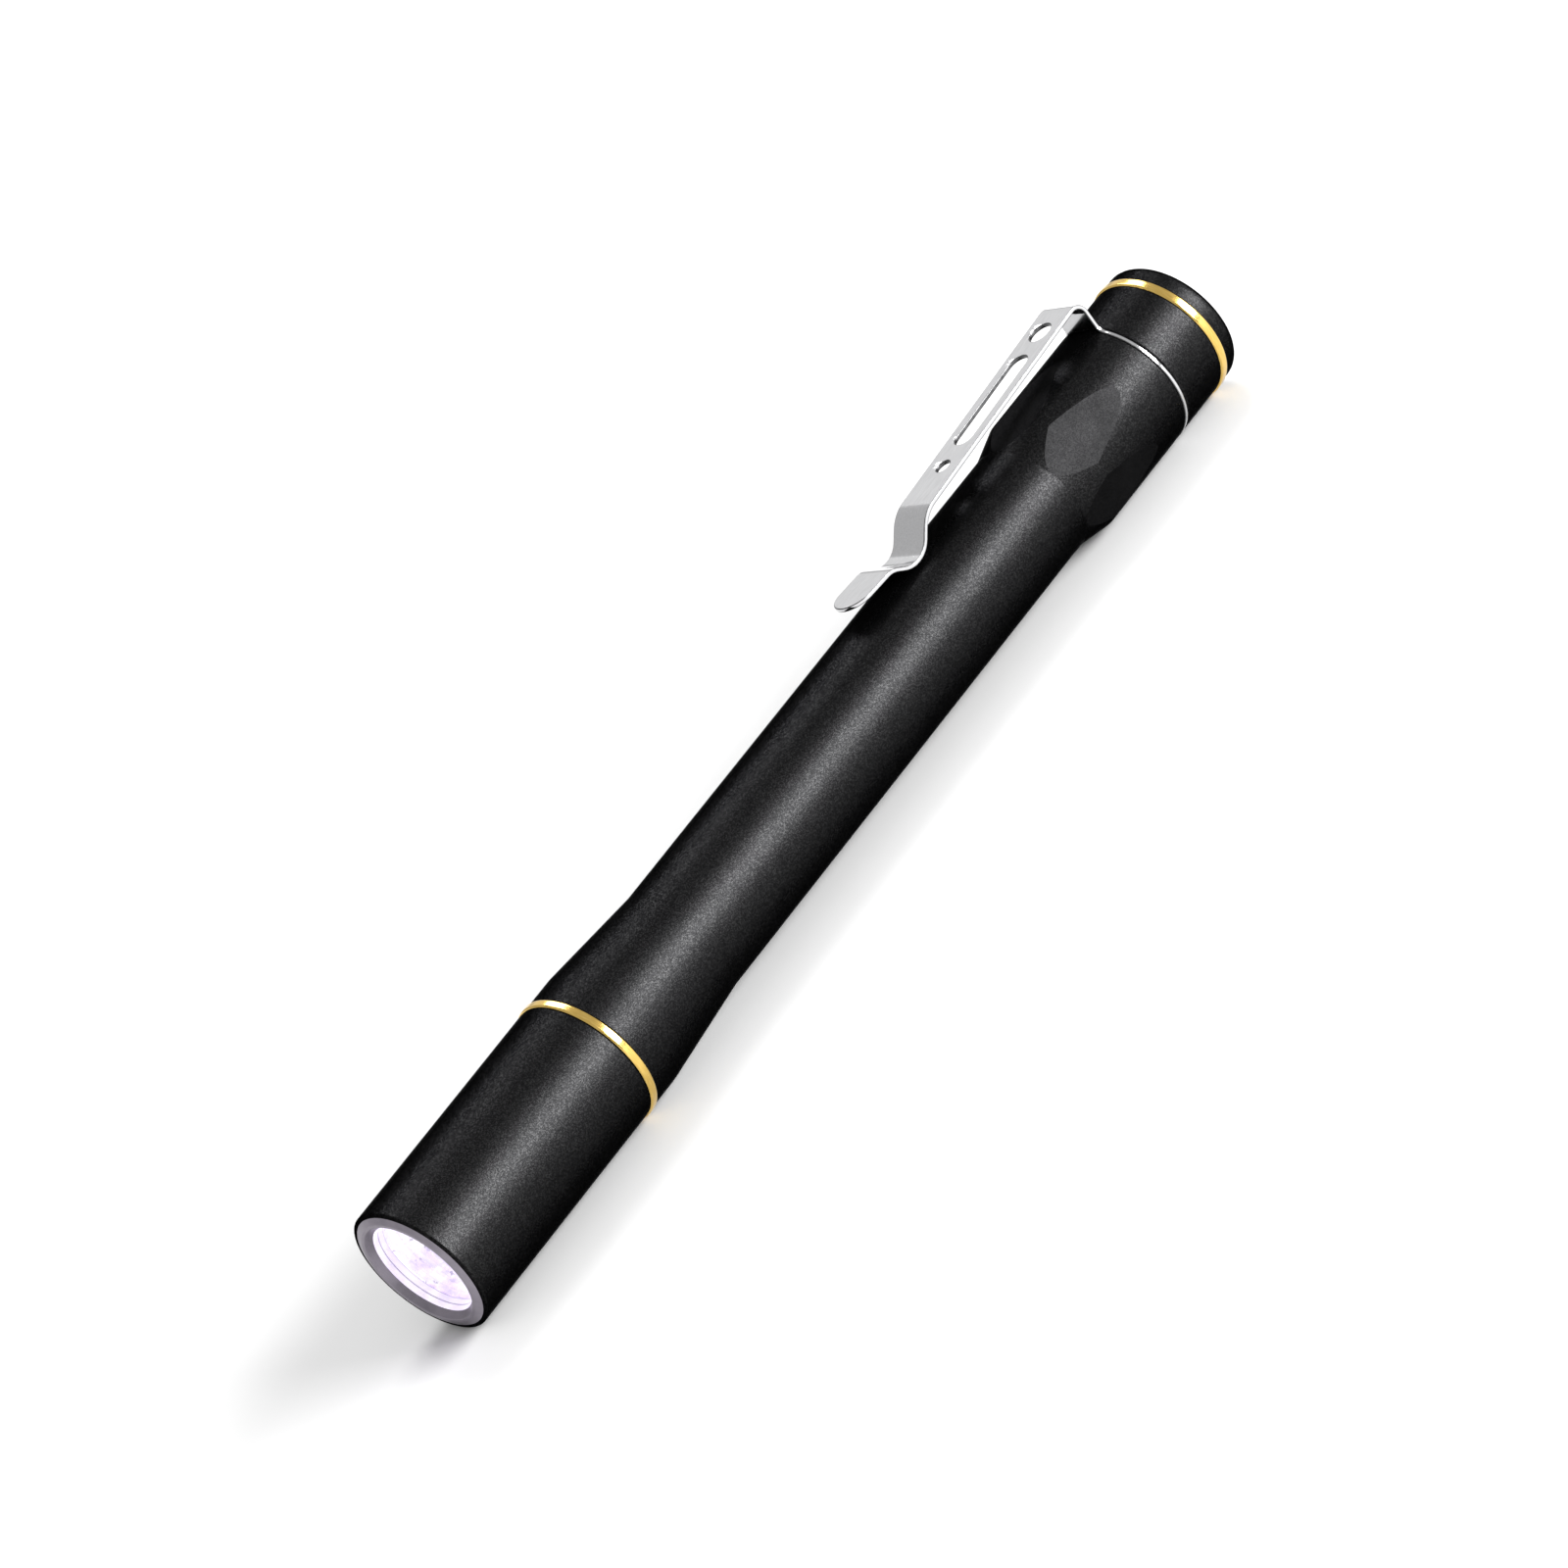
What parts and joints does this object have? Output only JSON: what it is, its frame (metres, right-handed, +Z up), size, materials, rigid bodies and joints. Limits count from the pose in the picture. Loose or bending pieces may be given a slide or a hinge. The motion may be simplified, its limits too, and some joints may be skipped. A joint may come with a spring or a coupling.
{
  "type": "counterfeit detector pen",
  "caption": "Slim ultraviolet penlight for checking banknotes: waisted black tube, gold trim rings, steel pocket clip, screw-on tail cap with a push button.",
  "frame": {"origin": "under the middle of the pen's length, on the surface that its two trim rings rest on", "axes": "+X along the pen from the lens to the tail button, +Z up through the pocket clip, +Y to the left when looking from the lens end to the tail"},
  "size_m": [0.1314, 0.015, 0.0183],
  "materials": {
    "anodised_black": "satin hard-anodised, fine grain",
    "bezel_grey": "satin anodised grey",
    "gold_trim": "polished gold",
    "clip_steel": "polished stainless",
    "button_steel": "polished",
    "lens_glass": "clear",
    "gasket_silicone": "translucent white silicone",
    "reflector_coat": "bright textured coat",
    "led_dome": "silicone dome on white ceramic",
    "white_nylon": "matte white",
    "led_board_white": "white solder mask",
    "brass": "machined",
    "wire_red": "silicone insulation",
    "board_green": "solder mask",
    "chip_black": "moulded package",
    "spring_gold": "plated wire",
    "spring_steel": "wire",
    "seal_rubber": "nitrile",
    "cell_can": "nickel-plated can",
    "cell_label": "shrink sleeve",
    "switch_black": "moulded",
    "boot_rubber": "silicone"
  },
  "bodies": {
    "torch": {"head_shell": "anodised_black", "bezel_ring": "bezel_grey", "lens_gasket": "gasket_silicone", "lens": "lens_glass", "reflector": "reflector_coat", "led_emitter": "led_dome", "led_centring_ring": "white_nylon", "led_board": "led_board_white", "led_holder": "brass", "led_wires": "wire_red", "driver_board": "board_green", "driver_components": "chip_black", "front_contact_spring": "spring_gold", "front_trim_ring": "gold_trim", "head_seal": "seal_rubber", "battery_tube": "anodised_black", "front_cell": "cell_can", "front_cell_sleeve": "cell_label", "rear_cell": "cell_can", "rear_cell_sleeve": "cell_label"},
    "clip_mount": {"clip_ring": "clip_steel"},
    "clip_strip": {"clip_arm": "clip_steel"},
    "cap": {"tail_cap": "anodised_black", "tail_seal": "seal_rubber", "rear_trim_ring": "gold_trim", "tail_end_ring": "anodised_black", "switch_boot": "boot_rubber", "switch_body": "switch_black", "switch_spring": "spring_steel", "switch_board": "board_green", "switch_retainer": "brass", "rear_contact_spring": "spring_gold"},
    "button": {"tail_button": "button_steel", "switch_plunger": "white_nylon"}
  },
  "joints": [
    {"name": "cap_travel", "type": "slide", "parent": "torch", "child": "clip_mount", "axis": [1, 0, 0], "range_m": [0, 0.00525]},
    {"name": "cap_turn", "type": "hinge", "parent": "clip_mount", "child": "cap", "pos_m": [0.05414, 0, 0.00746], "axis": [1, 0, 0], "range_deg": [0, 2520]},
    {"name": "clip_flex", "type": "hinge", "parent": "clip_mount", "child": "clip_strip", "pos_m": [0.05409, 0, 0.01576], "axis": [0, 1, 0], "range_deg": [0, 4], "stiffness_Nm_per_rad": 2},
    {"name": "button_press", "type": "slide", "parent": "cap", "child": "button", "axis": [-1, 0, 0], "range_m": [0, 0.0016], "stiffness_N_per_m": 1500, "springref_m": -0.0005, "deforming": ["switch_boot", "switch_spring"]}
  ],
  "couplings": [
    {"joint": "cap_travel", "follows": "cap_turn", "m_per_rad": 0.00011937}
  ]
}
